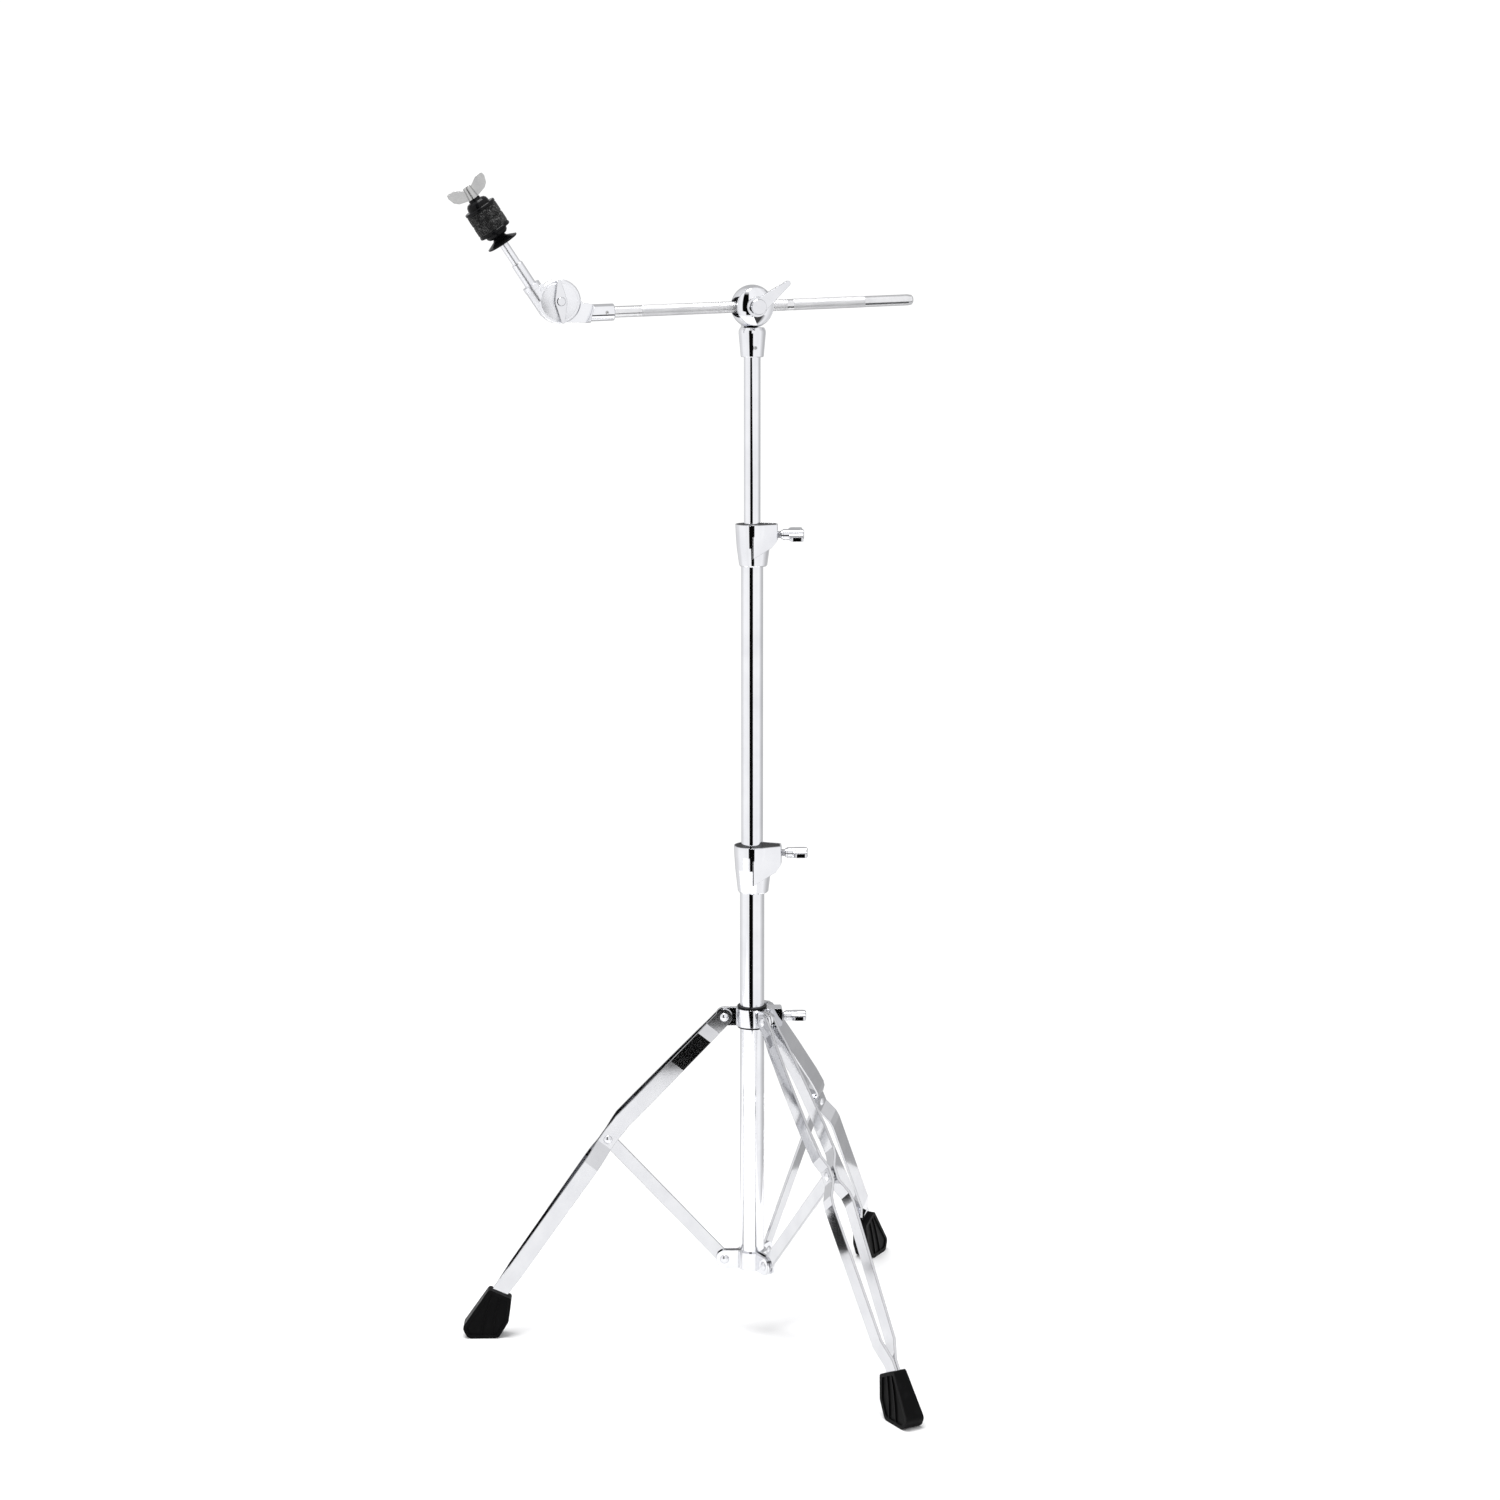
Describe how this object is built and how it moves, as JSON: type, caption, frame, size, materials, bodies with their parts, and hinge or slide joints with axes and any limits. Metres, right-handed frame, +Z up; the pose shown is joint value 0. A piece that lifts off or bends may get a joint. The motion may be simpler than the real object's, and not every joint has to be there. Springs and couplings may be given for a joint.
{
  "type": "cymbal boom stand",
  "caption": "Chromed cymbal boom stand with a folding tripod, telescoping tubes, a clamped short boom and a tilting felt-cushioned cymbal seat.",
  "frame": {"origin": "on the floor, on the axis of the tubes, midway between the feet", "axes": "+Z up along the tubes, +X along the boom towards its tail, +Y away from the clamp lever"},
  "size_m": [0.5925, 0.5933, 1.3687],
  "materials": {
    "chrome": "polished",
    "satin_steel": "satin",
    "black_nylon": "matte",
    "seat_plastic": "gloss",
    "black_rubber": "satin",
    "felt": "wool felt"
  },
  "bodies": {
    "base": {"base_tube": "chrome", "base_end_plug": "black_nylon", "hub_plates": "chrome", "hub_rivets": "chrome", "lower_clamp_collar": "chrome", "lower_clamp_bushing": "black_nylon", "lower_clamp_shoe": "satin_steel"},
    "lower_screw": {"lower_wing_screw": "chrome"},
    "brace_a": {"brace_a": "chrome"},
    "leg_a": {"leg_a_left_bar": "chrome", "leg_a_right_bar": "chrome", "knee_rivet_a": "chrome", "foot_a": "black_rubber"},
    "brace_b": {"brace_b": "chrome"},
    "leg_b": {"leg_b_left_bar": "chrome", "leg_b_right_bar": "chrome", "knee_rivet_b": "chrome", "foot_b": "black_rubber"},
    "brace_c": {"brace_c": "chrome"},
    "leg_c": {"leg_c_left_bar": "chrome", "leg_c_right_bar": "chrome", "knee_rivet_c": "chrome", "foot_c": "black_rubber"},
    "tripod_collar": {"collar_plate_a": "chrome", "collar_plate_b": "chrome", "collar_plate_c": "chrome", "collar_rivets": "chrome", "collar_liner": "black_nylon", "collar_screw_block": "chrome"},
    "collar_screw": {"collar_wing_screw": "chrome"},
    "mid_glide": {"mid_tube_glide": "black_nylon"},
    "mid": {"mid_tube": "chrome", "upper_clamp_collar": "chrome", "upper_clamp_bushing": "black_nylon", "upper_clamp_shoe": "satin_steel"},
    "upper_screw": {"upper_wing_screw": "chrome"},
    "upper_glide": {"upper_tube_glide": "black_nylon"},
    "upper": {"upper_tube": "chrome", "boom_neck": "chrome", "neck_set_screw": "satin_steel"},
    "ball": {"clamp_bowl": "chrome", "clamp_dome": "chrome", "clamp_washer": "chrome", "clamp_bolt": "satin_steel", "clamp_rear_nut": "satin_steel"},
    "lever": {"boom_lever": "chrome"},
    "grip": {"grip_sleeve": "satin_steel"},
    "boom": {"boom_rod": "satin_steel", "tilter_base": "chrome", "ferrule_set_screw": "satin_steel", "tilter_nut": "satin_steel"},
    "arm_bolt": {"tilter_wing_bolt": "chrome"},
    "seat_arm": {"tilter_arm": "chrome", "cymbal_stem": "chrome", "seat_base": "seat_plastic", "seat_cup_sleeve": "seat_plastic", "lower_felt": "felt", "upper_felt": "felt"},
    "seat_top": {"top_cup": "seat_plastic"},
    "seat_nut": {"cymbal_wing_nut": "satin_steel"}
  },
  "joints": [
    {"name": "tripod_fold", "type": "hinge", "parent": "base", "child": "brace_a", "pos_m": [-0.03207, 0.00776, 0.0945], "axis": [0.2351, 0.972, 0], "range_deg": [-12, 35]},
    {"name": "leg_a_knee", "type": "hinge", "parent": "brace_a", "child": "leg_a", "pos_m": [-0.16615, 0.0402, 0.24384], "axis": [0.2351, 0.972, 0], "range_deg": [-70, 24]},
    {"name": "brace_b_fold", "type": "hinge", "parent": "base", "child": "brace_b", "pos_m": [0.00932, -0.03166, 0.0945], "axis": [-0.9593, -0.2823, 0], "range_deg": [-12, 35]},
    {"name": "leg_b_knee", "type": "hinge", "parent": "brace_b", "child": "leg_b", "pos_m": [0.04827, -0.16399, 0.24384], "axis": [-0.9593, -0.2823, 0], "range_deg": [-70, 24]},
    {"name": "brace_c_fold", "type": "hinge", "parent": "base", "child": "brace_c", "pos_m": [0.02276, 0.0239, 0.0945], "axis": [0.7242, -0.6896, 0], "range_deg": [-12, 35]},
    {"name": "leg_c_knee", "type": "hinge", "parent": "brace_c", "child": "leg_c", "pos_m": [0.11789, 0.1238, 0.24384], "axis": [0.7242, -0.6896, 0], "range_deg": [-70, 24]},
    {"name": "collar_pivot", "type": "hinge", "parent": "leg_a", "child": "tripod_collar", "pos_m": [-0.03207, 0.00776, 0.39317], "axis": [0.2351, 0.972, 0], "range_deg": [-12, 35]},
    {"name": "collar_screw_turn", "type": "hinge", "parent": "tripod_collar", "child": "collar_screw", "pos_m": [0, 0, 0.39317], "axis": [0.9744, -0.225, 0], "range_deg": [-30, 720]},
    {"name": "lower_screw_turn", "type": "hinge", "parent": "base", "child": "lower_screw", "pos_m": [0, 0, 0.5895], "axis": [0.9744, -0.225, 0], "range_deg": [-30, 720]},
    {"name": "mid_height", "type": "slide", "parent": "base", "child": "mid_glide", "axis": [0, 0, 1], "range_m": [-0.325, 0.1]},
    {"name": "mid_swivel", "type": "hinge", "parent": "mid_glide", "child": "mid", "pos_m": [0, 0, 0.432], "axis": [0, 0, 1], "continuous": true},
    {"name": "upper_screw_turn", "type": "hinge", "parent": "mid", "child": "upper_screw", "pos_m": [0, 0, 0.9623], "axis": [0.9744, -0.225, 0], "range_deg": [-30, 720]},
    {"name": "upper_height", "type": "slide", "parent": "mid", "child": "upper_glide", "axis": [0, 0, 1], "range_m": [-0.188, 0.1]},
    {"name": "upper_swivel", "type": "hinge", "parent": "upper_glide", "child": "upper", "pos_m": [0, 0, 0.8], "axis": [0, 0, 1], "continuous": true},
    {"name": "boom_tilt", "type": "hinge", "parent": "upper", "child": "ball", "pos_m": [0, 0, 1.2214], "axis": [0, 1, 0], "range_deg": [-40, 40]},
    {"name": "lever_turn", "type": "hinge", "parent": "ball", "child": "lever", "pos_m": [0, -0.027, 1.2214], "axis": [0, 1, 0], "range_deg": [-90, 270]},
    {"name": "boom_roll", "type": "hinge", "parent": "ball", "child": "grip", "pos_m": [0, 0, 1.2214], "axis": [0.9995, 0, 0.0323], "range_deg": [-180, 180]},
    {"name": "boom_reach", "type": "slide", "parent": "grip", "child": "boom", "axis": [0.9995, 0, 0.0323], "range_m": [-0.12, 0.13]},
    {"name": "arm_bolt_turn", "type": "hinge", "parent": "boom", "child": "arm_bolt", "pos_m": [-0.2238, -0.02, 1.2286], "axis": [0, 1, 0], "range_deg": [-30, 720]},
    {"name": "seat_tilt", "type": "hinge", "parent": "boom", "child": "seat_arm", "pos_m": [-0.2238, 0, 1.2286], "axis": [0, -1, 0], "range_deg": [-60, 75]},
    {"name": "seat_top_lift", "type": "slide", "parent": "seat_arm", "child": "seat_top", "axis": [-0.5519, 0, 0.8339], "range_m": [0, 0.01]},
    {"name": "seat_nut_turn", "type": "hinge", "parent": "seat_top", "child": "seat_nut", "pos_m": [-0.31943, 0, 1.34518], "axis": [-0.5519, 0, 0.8339], "range_deg": [0, 2880]}
  ],
  "couplings": [
    {"joint": "leg_a_knee", "follows": "tripod_fold", "ratio": -2},
    {"joint": "collar_pivot", "follows": "tripod_fold", "ratio": 1},
    {"joint": "brace_b_fold", "follows": "tripod_fold", "ratio": 1},
    {"joint": "leg_b_knee", "follows": "tripod_fold", "ratio": -2},
    {"joint": "brace_c_fold", "follows": "tripod_fold", "ratio": 1},
    {"joint": "leg_c_knee", "follows": "tripod_fold", "ratio": -2},
    {"joint": "seat_nut_turn", "follows": "seat_top_lift", "rad_per_m": 5026.5}
  ]
}
